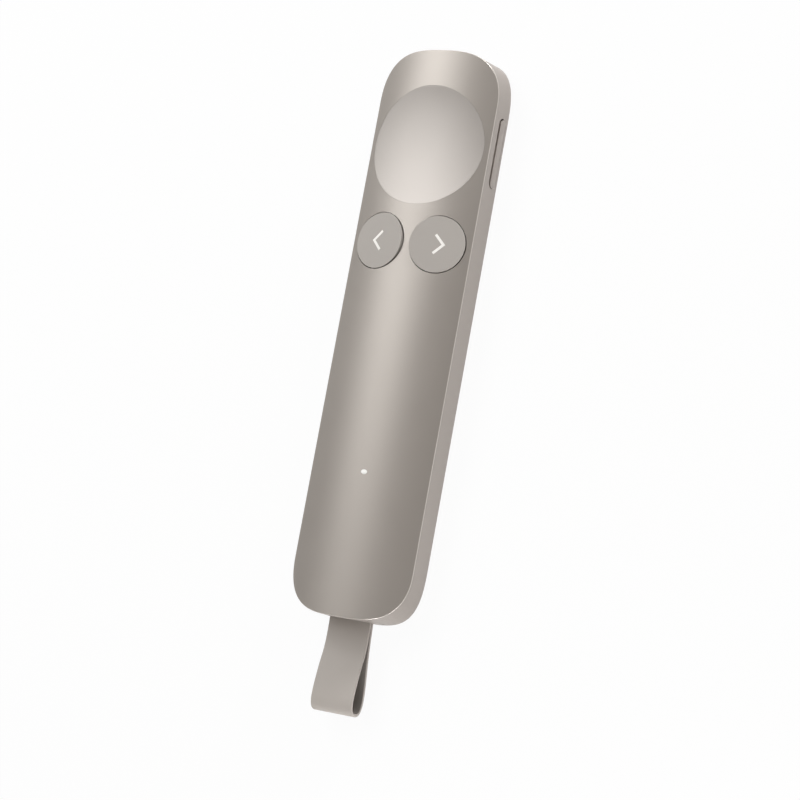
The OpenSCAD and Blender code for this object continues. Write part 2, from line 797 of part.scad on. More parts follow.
// The strap's two legs lie together in the receiver, spread into a drop shape
// and meet in a round end. Points are [distance along Y, height].
function spread(y) = let (u = min(1, max(0, (loop_y0 - y) / loop_run))) pow(sin(90 * u), 1.5);
function loop_z(y) = rx_z - strap_sag * spread(y);
function leg_gap(y) = strap_t / 2 + (strap_half - strap_t / 2) * spread(y);
leg_steps = 14;
turn_steps = 16;
leg_ys = concat([-half_l + strap_in],
                [for (i = [0:leg_steps]) loop_y0 + (loop_y1 - loop_y0) * i / leg_steps]);
// The loop's outline at a distance off outside its middle line, or inside it below zero
function drop_points(off) = concat(
    [for (y = leg_ys) [y, loop_z(y) + leg_gap(y) + off]],
    [for (i = [1:turn_steps - 1]) let (a = 90 - 180 * i / turn_steps)
        [loop_y1 - (strap_half + off) * cos(a), loop_z(loop_y1) + (strap_half + off) * sin(a)]],
    [for (i = [len(leg_ys) - 1:-1:0]) let (y = leg_ys[i]) [y, loop_z(y) - leg_gap(y) - off]]);
// The space between the legs, from where they part
function drop_hole() = let (p = drop_points(-strap_t / 2), n = len(p)) [for (i = [2:n - 3]) p[i]];

module pull_strap() {
    color("#b7b0aa") difference() {
        translate([strap_w / 2, 0, 0]) rotate([90, 0, -90]) linear_extrude(strap_w)
            difference() {
                polygon([for (p = drop_points(strap_t / 2)) [-p[0], p[1]]]);
                polygon([for (p = drop_hole()) [-p[0], p[1]]]);
            }
        translate([0, pin_y, rx_z - 2 * strap_t]) cylinder(r = pin_r + seat_gap, h = 4 * strap_t);
    }
}

rear_shell();
top_cover();
mid_frame();
main_board();
battery_cell();
cell_pad();
pointer_switch();
back_switch();
next_switch();
side_switch();
radio_can();
antenna_chip();
status_led();
light_pipe();
haptic_motor();
laser_module();
laser_window();
charge_port();
board_screws();
pointer_cap();
pointer_plunger();
back_cap();
back_mark();
back_plunger();
next_cap();
next_mark();
next_plunger();
side_key();
side_plunger();
receiver_case();
receiver_board();
receiver_plug();
plug_tongue();
strap_pin();
pull_strap();
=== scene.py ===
# %% [markdown]
# A pocket clicker, dressed for its photograph
#
# The clicker is a slim remote: an arched satin face over a tray with upright walls, a
# dished pointer button, two leaning round buttons with chevrons, a narrow side key, and a
# soft strap that pulls a receiver out of the tail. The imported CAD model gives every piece
# its place, and this notebook gives the pieces that show their exact curves and finishes.
# Everything is written in millimetres, and one factor turns it into metres.

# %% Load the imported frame
import json
import math

import bmesh
import bpy
import numpy as np
from mathutils import Matrix, Vector


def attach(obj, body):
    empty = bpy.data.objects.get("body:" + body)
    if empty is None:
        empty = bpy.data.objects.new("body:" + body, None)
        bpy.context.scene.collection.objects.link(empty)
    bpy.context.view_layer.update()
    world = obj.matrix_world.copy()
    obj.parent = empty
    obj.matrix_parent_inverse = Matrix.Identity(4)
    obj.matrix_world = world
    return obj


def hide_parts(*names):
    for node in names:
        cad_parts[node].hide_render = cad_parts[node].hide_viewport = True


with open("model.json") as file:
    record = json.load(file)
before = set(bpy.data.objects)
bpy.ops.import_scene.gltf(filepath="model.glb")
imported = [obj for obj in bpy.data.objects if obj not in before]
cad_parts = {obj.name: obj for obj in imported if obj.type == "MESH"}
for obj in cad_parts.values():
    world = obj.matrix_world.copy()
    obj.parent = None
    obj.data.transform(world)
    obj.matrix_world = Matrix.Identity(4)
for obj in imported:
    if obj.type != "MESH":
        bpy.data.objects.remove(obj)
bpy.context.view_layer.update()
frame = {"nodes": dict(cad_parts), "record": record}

MM = 0.001                       # in metres

# %% [markdown]
# The camera
#
# The photograph looks down on the clicker from its right side with a long lens. Fitting a
# pinhole camera to the body's edges gave the place, the three directions and the lens, so
# the camera is set from those numbers instead of by eye. It comes first, because every
# later choice is judged through it.

# %% Camera
CAMERA_PLACE = (219.782, -71.928, 403.626)
CAMERA_RIGHT = (0.87446, 0.17832, -0.45113)
CAMERA_UP = (-0.09911, 0.97604, 0.1937)
CAMERA_BACK = (0.47486, -0.12467, 0.87119)
LENS, SENSOR = 92.557, 36.0
NEAREST, FARTHEST = 0.01, 50.0   # metres


def add_camera():
    lens = bpy.data.cameras.new("photo_camera")
    lens.lens, lens.sensor_width = LENS, SENSOR
    lens.clip_start, lens.clip_end = NEAREST, FARTHEST
    camera = bpy.data.objects.new("photo_camera", lens)
    bpy.context.collection.objects.link(camera)
    turn = Matrix((CAMERA_RIGHT, CAMERA_UP, CAMERA_BACK)).transposed().to_4x4()
    camera.matrix_world = Matrix.Translation(Vector(CAMERA_PLACE) * MM) @ turn
    bpy.context.scene.camera = camera
    return camera


photo_camera = add_camera()
print("camera at", [round(v, 4) for v in photo_camera.matrix_world.translation])

# %% [markdown]
# A writer for meshes
#
# Most pieces of this clicker are stacks of rings: the outline at one height, the same
# outline drawn in by a bevel, and so on. A modifier chain could do it, but rings that are
# joined point by point keep exact control of each edge, so a small class collects points
# and faces and hands back a finished piece.

# %% Surface writer
SMOOTH_BELOW = math.radians(32)


class Surface:
    """Points and faces in millimetres, which become one piece in metres."""

    def __init__(self):
        self.points = []
        self.faces = []

    def ring(self, points):
        start = len(self.points)
        self.points.extend(tuple(float(v) for v in p) for p in points)
        return list(range(start, len(self.points)))

    def bridge(self, a, b, closed=True):
        n = len(a)
        for i in range(n if closed else n - 1):
            j = (i + 1) % n
            self.faces.append((a[i], a[j], b[j], b[i]))

    def fan(self, loop, tip):
        centre = self.ring([tip])[0]
        for i, a in enumerate(loop):
            self.faces.append((a, loop[(i + 1) % len(loop)], centre))

    def stack(self, rings):
        loops = [self.ring(r) for r in rings]
        for a, b in zip(loops, loops[1:]):
            self.bridge(a, b)
        return loops

    def rows(self, loop, height, columns):
        """Fill a body outline with rows of quads that run from wall to wall."""
        half = len(loop) // 2
        rows = []
        for j in range(1, half):
            x, y = self.points[loop[j]][:2]
            across = [x * (1 - 2 * k / columns) for k in range(1, columns)]
            inner = self.ring([(c, y, height(c)) for c in across])
            rows.append([loop[j], *inner, loop[-j]])
        for a, b in zip(rows, rows[1:]):
            self.bridge(a, b, closed=False)
        for tip, row in ((loop[0], rows[0]), (loop[half], rows[-1])):
            for k in range(columns):
                self.faces.append((tip, row[k], row[k + 1]))

    def solid(self, name):
        mesh = bpy.data.meshes.new(name)
        mesh.from_pydata([(x * MM, y * MM, z * MM) for x, y, z in self.points], [], self.faces)
        form = bmesh.new()
        form.from_mesh(mesh)
        bmesh.ops.recalc_face_normals(form, faces=form.faces)
        form.to_mesh(mesh)
        form.free()
        piece = bpy.data.objects.new(name, mesh)
        bpy.context.collection.objects.link(piece)
        return piece


def soften(piece):
    """Smooth shading, with the real corners kept sharp."""
    piece.data.polygons.foreach_set("use_smooth", [True] * len(piece.data.polygons))
    piece.data.set_sharp_from_angle(angle=SMOOTH_BELOW)


def place(piece, body, slot, *nodes):
    """The piece rides on its body and stands for its nodes; the slot is not used."""
    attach(piece, body)
    if nodes:
        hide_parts(*nodes)
    print(piece.name, "faces:", len(piece.data.polygons), "stands for:", ", ".join(nodes))


# %% [markdown]
# Cutting and joining
#
# Button openings, the receiver's bay and the chevron pockets go through curved walls. They
# could be modelled face by face, but the exact Boolean finds those edges for us. It is
# applied at once, so that the piece is left with plain mesh data and the cutters are thrown
# away. A cut may leave slivers, which tear the skin in an exported mesh, so they are welded.

# %% Boolean helpers
SLIVER = 0.0003 * MM


def weld_slivers(mesh):
    """Points closer than SLIVER become one, and many-sided faces become triangles."""
    form = bmesh.new()
    form.from_mesh(mesh)
    bmesh.ops.remove_doubles(form, verts=form.verts, dist=SLIVER)
    bmesh.ops.dissolve_degenerate(form, edges=form.edges, dist=SLIVER)
    uneven = [face for face in form.faces if len(face.verts) > 4]
    bmesh.ops.triangulate(form, faces=uneven, ngon_method="BEAUTY")
    form.to_mesh(mesh)
    form.free()


def combine(piece, operation, tools):
    for tool in tools:
        step = piece.modifiers.new(tool.name, "BOOLEAN")
        step.operation = operation
        step.solver = "EXACT"
        step.object = tool
    graph = bpy.context.evaluated_depsgraph_get()
    result = bpy.data.meshes.new_from_object(piece.evaluated_get(graph))
    piece.modifiers.clear()
    weld_slivers(result)
    piece.data = result
    for tool in tools:
        bpy.data.objects.remove(tool)
    return piece


def cut_away(piece, *tools):
    return combine(piece, "DIFFERENCE", tools)


def weld_on(piece, *tools):
    return combine(piece, "UNION", tools)


# %% [markdown]
# The body's outline
#
# Seen from above the body is a long bar with full, squarish round ends. A superellipse
# quarter joined to a straight side draws it with two numbers for fullness. The face's edge
# is a little rounder at its corners than the back, which the photograph shows where the
# wall widens at the corner, so there are two outlines, and a third in between for the
# hidden walls. Points are spread evenly along each, so any two outlines join point to point.

# %% Outlines
HALF_W = 15.0
ARCH_R = 40.0
CROWN_Z = 10.8
ARCH_Z = CROWN_Z - ARCH_R
QUARTER = 120                    # points on a quarter of an outline
FINE = 3000                      # points that a rounded end is measured on
# half the length, depth of the rounded end, fullness across, fullness along
FACE_OUTLINE = (64.59, 11.89, 3.268, 2.337)
REAR_OUTLINE = (64.73, 14.91, 4.384, 3.15)
CORE_OUTLINE = (64.65, 14.8, 3.8, 3.1)


def arch(x, drop=0.0):
    """Height of the face's arch, or of one that lies drop below it."""
    return ARCH_Z + np.sqrt((ARCH_R - drop) ** 2 - np.square(x))


def right_side(outline, inset=0.0):
    """Even points from the middle of the tail, up the right side, to the middle of the nose."""
    half_l, end, across, along = outline
    turn = math.pi / 4 * (1 - np.cos(np.linspace(0, math.pi, FINE)))
    x = (HALF_W - inset) * np.clip(np.cos(turn), 0, 1) ** (2 / across)
    y = half_l - end + (end - inset) * np.sin(turn) ** (2 / along)
    x, y = np.append(HALF_W - inset, x), np.append(0.0, y)
    x[-1] = 0.0
    run = np.append(0.0, np.cumsum(np.hypot(np.diff(x), np.diff(y))))
    even = np.linspace(0, run[-1], QUARTER + 1)
    quarter = np.column_stack([np.interp(even, run, x), np.interp(even, run, y)])
    return np.vstack([quarter[::-1] * (1, -1), quarter[1:]])


def flat_ring(outline, inset=0.0):
    right = right_side(outline, inset)
    return np.vstack([right, right[-2:0:-1] * (-1, 1)])


def arch_ring(outline, inset, drop):
    """The outline laid on the arch."""
    flat = flat_ring(outline, inset)
    return np.column_stack([flat, arch(flat[:, 0], drop)])


def level_ring(outline, inset, z):
    flat = flat_ring(outline, inset)
    return np.column_stack([flat, np.full(len(flat), z)])


print("points on an outline:", len(flat_ring(FACE_OUTLINE)))

# %% [markdown]
# Simple tools for round and long holes
#
# A turned form covers discs, caps and the cutters for round holes; a stadium covers the
# side key, the receiver and their slots. Ready-made cylinders would be quicker, but they
# have no edge rounds. Here both come from rings, so a round is just a few more rings.

# %% Turned forms and stadiums
ROUND_STEPS = 192


def circle(radius, height, steps=ROUND_STEPS):
    turn = np.arange(steps) * 2 * math.pi / steps
    x, y = radius * np.cos(turn), radius * np.sin(turn)
    z = height(x, y) if callable(height) else np.full(steps, height)
    return np.column_stack([x, y, z])


def moved(points, at=(0, 0, 0), lean=0.0):
    """Points leaned about Y, then moved to their place."""
    spin = np.array(Matrix.Rotation(lean, 3, "Y"))
    return np.asarray(points) @ spin.T + np.array(at)


def turned(name, profile, at=(0, 0, 0), lean=0.0, steps=ROUND_STEPS):
    """A closed form from (radius, height) pairs; the first and last sit on the axis.

    A height may be a function of x and y. Such an end is closed by a fan that follows it.
    """
    form = Surface()
    rings = [moved(circle(r, z, steps), at, lean) for r, z in profile[1:-1]]
    loops = form.stack(rings)
    for loop, (_, z) in ((loops[0], profile[0]), (loops[-1], profile[-1])):
        if callable(z):
            form.fan(loop, moved([(0, 0, z(0.0, 0.0))], at, lean)[0])
        else:
            form.faces.append(tuple(loop))
    return form.solid(name)


def rod(name, radius, z0, z1, at=(0, 0, 0), lean=0.0):
    return turned(name, [(0, z0), (radius, z0), (radius, z1), (0, z1)], at, lean)


def stadium(length, width, steps=24):
    """A long hole's outline in its own plane, evenly drawn round each end."""
    half = (length - width) / 2
    turn = np.linspace(-math.pi / 2, math.pi / 2, steps + 1)
    right = np.column_stack([half + width / 2 * np.cos(turn), width / 2 * np.sin(turn)])
    return np.vstack([right, -right])


def block(name, low, high):
    form = Surface()
    (x0, y0, z0), (x1, y1, z1) = low, high
    loops = form.stack([[(x0, y0, z), (x1, y0, z), (x1, y1, z), (x0, y1, z)] for z in (z0, z1)])
    form.faces += [tuple(loops[0]), tuple(loops[1])]
    return form.solid(name)


def pill(name, rings):
    """A solid from rings that face one way, closed by a flat face at each end."""
    form = Surface()
    loops = form.stack(rings)
    form.faces += [tuple(loops[0]), tuple(loops[-1])]
    return form.solid(name)


# %% [markdown]
# The arched face
#
# The real cover is one moulding: an arch across the body with a fine bright bevel round its
# edge and round openings that take the buttons. The bevel is 0.1 mm wide. A bevel modifier
# would do, but rings let us mark its faces, which get a smoother finish and a paler colour
# later; the paler colour is a painted highlight. Inside there is a lip that drops into the
# tray. The places of the dish, the discs and the light come first, because the face's
# openings and the buttons share them.

# %% Button places
# radius, place along the body, height of the lowest point, gap round it
DISH_R, DISH_Y, DISH_LOW, DISH_GAP = 13.85, 42.45, 9.48, 0.012
# radius, place across and along the body, height over the arch, gap round it
DISC_R, DISC_X, DISC_Y, DISC_PROUD, DISC_GAP = 6.48, 7.36, 19.94, -0.06, 0.14
DISC_PLAY = (0.04, -0.05)        # how far an opening's middle lies from its disc's
DISC_LEAN = math.radians(12.5)
DISC_Z = float(arch(DISC_X)) + DISC_PROUD
RELIEF = 0.25                    # room round each button inside the tray
# place along the body, half the oval's width and length, gap round it
LIGHT_Y, LIGHT_HALF, LIGHT_GAP = -32.4, (0.78, 0.54), 0.02


def disc_place(side, play=(0, 0)):
    """Middle of a button disc's top; side is -1 for back and 1 for next."""
    return side * DISC_X + play[0], DISC_Y + play[1], DISC_Z


def at_the_light(piece, gap=0.0):
    """A turned form of radius 1 takes the light's oval shape and its place."""
    oval = Matrix.Diagonal((LIGHT_HALF[0] + gap, LIGHT_HALF[1] + gap, 1, 1))
    piece.data.transform(Matrix.Translation((0, LIGHT_Y * MM, 0)) @ oval)
    return piece


print("button discs lean by", round(math.degrees(DISC_LEAN), 2), "degrees")

# %% Blank of the face
COVER_RIM, COVER_T = 0.5, 1.2    # how thick the cover is at its rim and inside its lip
# height of the lip's foot, and how far its two sides lie in from the outline
LIP_Z, LIP_OUTSIDE, LIP_INSIDE = 6.3, 1.45, 2.35
# how far each ring of the edge lies in from the outline and below the arch
EDGE_PROFILE = [(0.0, 0.5), (0.0, 0.16), (0.0, 0.12), (0.008, 0.102), (0.088, 0.012), (0.105, 0.0)]
BEVEL_START = 2                  # the bevel begins at this ring of the profile
FACE_COLUMNS, UNDER_COLUMNS = 64, 40


def face_blank():
    form = Surface()
    lip = [arch_ring(CORE_OUTLINE, LIP_INSIDE, COVER_T),
           level_ring(CORE_OUTLINE, LIP_INSIDE, LIP_Z),
           level_ring(CORE_OUTLINE, LIP_OUTSIDE, LIP_Z),
           arch_ring(CORE_OUTLINE, LIP_OUTSIDE, COVER_RIM)]
    edge = [arch_ring(FACE_OUTLINE, inset, drop) for inset, drop in EDGE_PROFILE]
    loops = form.stack(lip + edge)
    around = len(loops[0])
    bevel = range(around * (len(lip) + BEVEL_START), around * (len(loops) - 1))
    form.rows(loops[0], lambda x: float(arch(x, COVER_T)), UNDER_COLUMNS)
    form.rows(loops[-1], lambda x: float(arch(x)), FACE_COLUMNS)
    blank = form.solid("arched_face")
    for _ in range(2):
        blank.data.materials.append(None)       # the face's finish and the bevel's, whose paler colour is a painted highlight
    for i in bevel:
        blank.data.polygons[i].material_index = 1
    return blank


# %% [markdown]
# Even light on the arch
#
# After the openings are cut, the face is a web of uneven polygons. Their averaged normals
# would show as faint stains in a satin finish. A finer mesh would only hide them, so every
# corner that lies on the arch gets the arch's own normal instead, which points straight away
# from the arch's axis.

# %% True normals on the arch
FACES_UP = 0.85                  # least upward part of a face's normal on the arch
ON_ARCH = 0.002                  # millimetres off the arch that still count as on it


def true_arch_normals(piece):
    mesh = piece.data
    soften(piece)
    normals = [(0.0, 0.0, 0.0)] * len(mesh.loops)
    on_arch = 0
    for face in mesh.polygons:
        if face.normal.z < FACES_UP:
            continue
        for i in face.loop_indices:
            x, _, z = mesh.vertices[mesh.loops[i].vertex_index].co / MM
            out = Vector((x, 0.0, z - ARCH_Z))
            if abs(out.length - ARCH_R) < ON_ARCH:
                normals[i] = tuple(out.normalized())
                on_arch += 1
    mesh.normals_split_custom_set(normals)
    print(piece.name, "corners on the arch:", on_arch, "of", len(normals))


# %% Cut the face's openings
COVER_SPAN = (2.0, 13.0)         # heights from below the cover to above it
DISC_SPAN = (-8.0, 4.0)          # the same, seen from a disc's top
BAY_ROOM = ((-10.75, -64.65, 5.3), (10.75, -59.7, 8.13))

arched_face = face_blank()
cut_away(
    arched_face,
    rod("dish_opening", DISH_R + DISH_GAP, *COVER_SPAN, at=(0, DISH_Y, 0)),
    rod("back_opening", DISC_R + DISC_GAP, *DISC_SPAN, disc_place(-1, DISC_PLAY), -DISC_LEAN),
    rod("next_opening", DISC_R + DISC_GAP, *DISC_SPAN, disc_place(1, DISC_PLAY), DISC_LEAN),
    at_the_light(rod("light_opening", 1.0, *COVER_SPAN), LIGHT_GAP),
    block("bay_relief", *BAY_ROOM),
)
true_arch_normals(arched_face)
place(arched_face, "housing", "face_satin", "top_cover")

# %% [markdown]
# The tray
#
# Under the face sits the rear shell: upright walls, a flat back with a rounded edge, the
# receiver's bay in the tail, the side key's slot and the laser's window in the nose. One
# outline pulled straight down would be simpler, but the photograph shows the wall widening
# at the corners, so it is a loft from the face's outline down to the squarer back outline.

# %% Tray
# thickness of wall and floor, round of the back edge, depth of the seam below the arch
WALL_T, FLOOR_T, BACK_R, SEAM = 1.4, 1.3, 1.8, 0.55
WALL_STEPS, EDGE_STEPS, FLOOR_COLUMNS = 8, 10, 12


def tray_blank():
    form = Surface()
    top = arch_ring(FACE_OUTLINE, 0.0, SEAM)
    foot = level_ring(REAR_OUTLINE, 0.0, BACK_R)
    wall = [top + (foot - top) * k / WALL_STEPS for k in range(WALL_STEPS)]
    bend = []
    for k in range(EDGE_STEPS + 1):
        a = math.pi / 2 * k / EDGE_STEPS
        bend.append(level_ring(REAR_OUTLINE, BACK_R * (1 - math.cos(a)),
                               BACK_R * (1 - math.sin(a))))
    inside = [level_ring(CORE_OUTLINE, WALL_T, FLOOR_T), arch_ring(CORE_OUTLINE, WALL_T, SEAM)]
    loops = form.stack(inside + wall + bend)
    form.rows(loops[0], lambda x: FLOOR_T, FLOOR_COLUMNS)
    form.rows(loops[-1], lambda x: 0.0, FLOOR_COLUMNS)
    return form.solid("tray")


print("tray, mm: walls", WALL_T, "floor", FLOOR_T, "seam under the face's edge", SEAM)

# %% Openings in the tray
# place along the body and up, length and height, gap round it
KEY_Y, KEY_Z, KEY_L, KEY_W, KEY_GAP = 42.95, 3.75, 16.0, 2.9, 0.12
KEY_LIFT = 0.24                  # how much higher still the slot reaches
SLOT_Z = KEY_Z + KEY_LIFT / 2
SLOT_SPAN = (12.6, 16.0)         # x, from inside the side wall to outside it
# width, height and place of the receiver's bay, gap round it
BAY_W, BAY_H, BAY_Z, BAY_GAP = 15.5, 5.6, 4.5, 0.13
BAY_SPAN = (-60.0, -66.0)        # y, through the tail's wall
WINDOW_Z, WINDOW_R = 3.6, 1.75
WINDOW_SPAN = (61.0, 66.0)       # y, through the nose's wall
DISH_ROOM = (6.676, 12.0)        # heights of the room under the dish
DISC_ROOM = (-2.5, 3.0)          # and under a disc, seen from its top


def facing_x(outline, x, y=KEY_Y, z=KEY_Z):
    return np.column_stack([np.full(len(outline), x), outline[:, 0] + y, outline[:, 1] + z])


def facing_y(outline, y, z=BAY_Z):
    depth = y if isinstance(y, np.ndarray) else np.full(len(outline), y)
    return np.column_stack([outline[:, 0], depth, outline[:, 1] + z])


def key_slot():
    slot = stadium(KEY_L + 2 * KEY_GAP, KEY_W + 2 * KEY_GAP + KEY_LIFT)
    return pill("key_slot", [facing_x(slot, x, z=SLOT_Z) for x in SLOT_SPAN])


def bay_mouth():
    mouth = stadium(BAY_W + 2 * BAY_GAP, BAY_H + 2 * BAY_GAP)
    return pill("bay_mouth", [facing_y(mouth, y) for y in BAY_SPAN])


def window_hole():
    ring = circle(WINDOW_R, 0.0, steps=64)[:, :2]
    return pill("window_hole", [facing_y(ring, y, WINDOW_Z) for y in WINDOW_SPAN])


tray = cut_away(
    tray_blank(),
    key_slot(), bay_mouth(), window_hole(),
    rod("dish_relief", DISH_R + RELIEF, *DISH_ROOM, at=(0, DISH_Y, 0)),
    rod("back_relief", DISC_R + RELIEF, *DISC_ROOM, disc_place(-1), -DISC_LEAN),
    rod("next_relief", DISC_R + RELIEF, *DISC_ROOM, disc_place(1), DISC_LEAN),
)
soften(tray)
place(tray, "housing", "shell_satin", "rear_shell")

# %% [markdown]
# The dished pointer button
#
# The large button is hollowed along the body and follows the arch across it, a saddle, and
# its edge lies flush with the face all round. A ball could scoop it out, but its rim would
# then wander off the arch. Here the depth grows with the square of the distance from the
# middle, so the rim follows the arch exactly. Underneath are a wall, a short stem over its
# switch and two tabs that keep it in.

# %% Dish
# thickness of the wall and of the dished top, height of the wall's foot
DISH_WALL, DISH_WEB, DISH_FOOT = 1.25, 0.9, 7.376
DISH_RINGS = 28                  # from the middle of the dish to its rim
# how far each ring of the rim's round lies in from the rim and below the saddle
DISH_ROUND = ((0.05, 0.0), (0.03, 0.001), (0.008, 0.008), (0.0, 0.03), (0.0, 0.1))
STEM_R, DISH_STEM = 1.0, (7.434, 9.0)    # radius of every stem, heights of this one
# a tab's half width, how far it reaches into the wall and out of it, its thickness
TAB_HALF, TAB_ROOT, TAB_REACH, TAB_T = 3.0, 1.0, 1.35, 0.95
TAB_DROP = 2.25                  # from the arch down to the tab's lower side
TAB_Z = float(arch(TAB_HALF)) - TAB_DROP


def saddle(x, y, drop=0.0):
    """Height of the dish at a point given from the button's centre."""
    share = (np.square(x) + np.square(y)) / DISH_R ** 2
    around = np.sqrt(np.square(x) + np.square(y))
    rim_x = np.where(around > 0, x / np.maximum(around, 1e-9) * DISH_R, 0.0)
    return DISH_LOW + (arch(rim_x) - DISH_LOW) * share - drop


def underside(x, y):
    return saddle(x, y, DISH_WEB)


def dish_profile():
    profile = [(DISH_R * k / DISH_RINGS, saddle) for k in range(DISH_RINGS)]
    for inset, drop in DISH_ROUND:
        profile.append((DISH_R - inset, lambda x, y, d=drop: saddle(x, y, d)))
    inner = DISH_R - DISH_WALL
    profile += [(DISH_R, DISH_FOOT), (inner, DISH_FOOT)]
    profile += [(inner, underside), (inner / 2, underside), (0, underside)]
    return profile


def dish_tab(name, y0, y1):
    return block(name, (-TAB_HALF, y0, TAB_Z), (TAB_HALF, y1, TAB_Z + TAB_T))


dish_button = turned("dish_button", dish_profile(), at=(0, DISH_Y, 0))
DISH_NOSE, DISH_TAIL = DISH_Y + DISH_R, DISH_Y - DISH_R
weld_on(
    dish_button,
    rod("dish_stem", STEM_R, *DISH_STEM, at=(0, DISH_Y, 0)),
    dish_tab("nose_tab", DISH_NOSE - TAB_ROOT, DISH_NOSE + TAB_REACH),
    dish_tab("tail_tab", DISH_TAIL - TAB_REACH, DISH_TAIL + TAB_ROOT),
)
soften(dish_button)
place(dish_button, "pointer_button", "dish_satin", "pointer_cap")

# %% [markdown]
# The back and next buttons
#
# Each is a flat disc that leans 12.5 degrees, a little more than the arch, so it stands
# proud to its left and right and lies flush toward the nose and tail. The photograph shows
# a thin dark crescent at the left: the proud wall and the gap beside it. So the wall steps
# in just below the rim, which keeps light out of the gap, and the openings lie a little off
# their discs' middles. A turned form gives the disc its small edge round. The chevron could
# be painted on, but an inlay in a cut pocket keeps a crisp edge from near.

# %% Chevron outline
# height and width of the stroke's middle line, and how broad the stroke is
CHEVRON_H, CHEVRON_W, CHEVRON_STROKE = 4.3, 2.11, 0.6
CHEVRON_AHEAD = 0.7              # share of its width from the disc's middle to the apex


def chevron_outline(points_to, grow=0.0):
    """Six corners of a mitred chevron; its apex points to -X or +X."""
    arm = math.hypot(CHEVRON_H / 2, CHEVRON_W)
    lean = math.atan2(CHEVRON_H / 2, CHEVRON_W)
    half = CHEVRON_STROKE / 2 + grow
    apex = CHEVRON_AHEAD * CHEVRON_W
    reach_out = half / math.sin(lean)
    tip = np.array([math.cos(lean), math.sin(lean)])
    side = np.array([-math.sin(lean), math.cos(lean)])
    end = tip * (arm + grow)
    outer, inner = end + side * half, end - side * half
    corners = [(-reach_out, 0.0), outer * (1, -1), inner * (1, -1), (reach_out, 0.0), inner, outer]
    return [(points_to * (apex - x), y) for x, y in corners]


def chevron_solid(name, side, grow, span):
    form = Surface()
    corners = chevron_outline(side, grow)
    rings = [moved([(x, y, z) for x, y in corners], disc_place(side), side * DISC_LEAN)
             for z in span]
    loops = form.stack(rings)
    form.faces += [tuple(loops[0]), tuple(loops[1])]
    return form.solid(name)


print("chevron, mm across and along:", np.ptp(chevron_outline(1), axis=0).round(2))

# %% Discs
# heights here are seen from a disc's top: the wall's thickness, its step in below the rim,
# the underside of the top and the wall's foot
DISC_WALL, DISC_UNDERCUT, DISC_WEB, DISC_FOOT = 1.2, 0.14, -1.2, -1.85
DISC_STEM = (-2.78, -1.0)
POCKET_SPAN, POCKET_PLAY = (-0.3, 1.0), 0.015    # the play is the gap round the inlay
DISC_TAB_HALF, DISC_TAB_REACH, DISC_TAB_SPAN = 2.0, 0.85, (-1.82, -1.35)
DISC_PROFILE = [(0, 0.0), (3.0, 0.0), (DISC_R - 0.08, 0.0), (DISC_R - 0.06, 0.0),
                (DISC_R - 0.03, -0.008), (DISC_R - 0.008, -0.03), (DISC_R, -0.06),
                (DISC_R, -0.1), (DISC_R - DISC_UNDERCUT, -0.16),
                (DISC_R - DISC_UNDERCUT, DISC_FOOT), (DISC_R - DISC_WALL, DISC_FOOT),
                (DISC_R - DISC_WALL, DISC_WEB), (0, DISC_WEB)]


def disc_button(name, side):
    at, lean = disc_place(side), side * DISC_LEAN
    disc = turned(name, DISC_PROFILE, at, lean)
    low, high = DISC_TAB_SPAN
    tabs = []
    for end in (-1, 1):
        y0, y1 = sorted((end * (DISC_R - TAB_ROOT), end * (DISC_R + DISC_TAB_REACH)))
        tab = block(name + "_tab", (-DISC_TAB_HALF, y0, low), (DISC_TAB_HALF, y1, high))
        tab.data.transform(Matrix.Translation(Vector(at) * MM) @ Matrix.Rotation(lean, 4, "Y"))
        tabs.append(tab)
    weld_on(disc, rod(name + "_stem", STEM_R, *DISC_STEM, at, lean), *tabs)
    cut_away(disc, chevron_solid(name + "_pocket", side, POCKET_PLAY, POCKET_SPAN))
    soften(disc)
    return disc


back_disc = disc_button("back_disc", -1)
place(back_disc, "back_button", "button_satin", "back_cap")
next_disc = disc_button("next_disc", 1)
place(next_disc, "next_button", "button_satin", "next_cap")

# %% Chevron inlays
INLAY_SPAN = (-0.28, 0.012)      # from just above its pocket's floor to a hair proud
chevrons = []
for body, name, node, side in (("back_button", "back_chevron", "back_mark", -1),
                               ("next_button", "next_chevron", "next_mark", 1)):
    inlay = chevron_solid(name, side, 0.0, INLAY_SPAN)
    place(inlay, body, "mark_white", node)
    chevrons.append(inlay)

# %% [markdown]
# The status light
#
# The small pale spot on the face is the end of a milky pipe, which carries the light of a
# diode up from the board. Its end is an oval, wider across the body. An oval could be drawn
# point by point, but a round pipe squeezed along the body gives the same and lets the
# opening come from the same numbers. A foot under the face keeps the pipe from falling out.

# %% Status light
# radius before the squeeze, and height
PIPE_PROFILE = [(0, 6.5), (1.8, 6.5), (1.8, 7.1), (1.0, 7.1), (1.0, CROWN_Z - 0.06),
                (0.95, CROWN_Z - 0.02), (0.6, CROWN_Z), (0, CROWN_Z)]
pipe = at_the_light(turned("milky_pipe", PIPE_PROFILE, steps=48))
soften(pipe)
place(pipe, "housing", "light_white", "light_pipe")

# %% [markdown]
# The side key
#
# A narrow bar with round ends in a slot of the right wall. The photograph shows a dark line
# along its upper side only. An even gap all round would be the plain way, but it shows a
# line below too. So the key's thin face sits low in the slot, the gap is wide above and
# closes below, and a shelf behind the face ends the gap, so nobody looks into the case.

# %% Side key
# how far the face sits low, and how much shorter and less high it is than the key
KEY_DROP, KEY_SHORT, KEY_TRIM = 0.31, 0.06, 0.45
KEY_FLANGE, FLANGE_SPAN = 1.1, (13.17, 13.52)
SHELF_X, SHELF_GAP = 14.45, 0.05         # where the shelf ends, gap round it
KEY_BACK = 0.12                  # the bar is narrower behind its face, for a dark gap
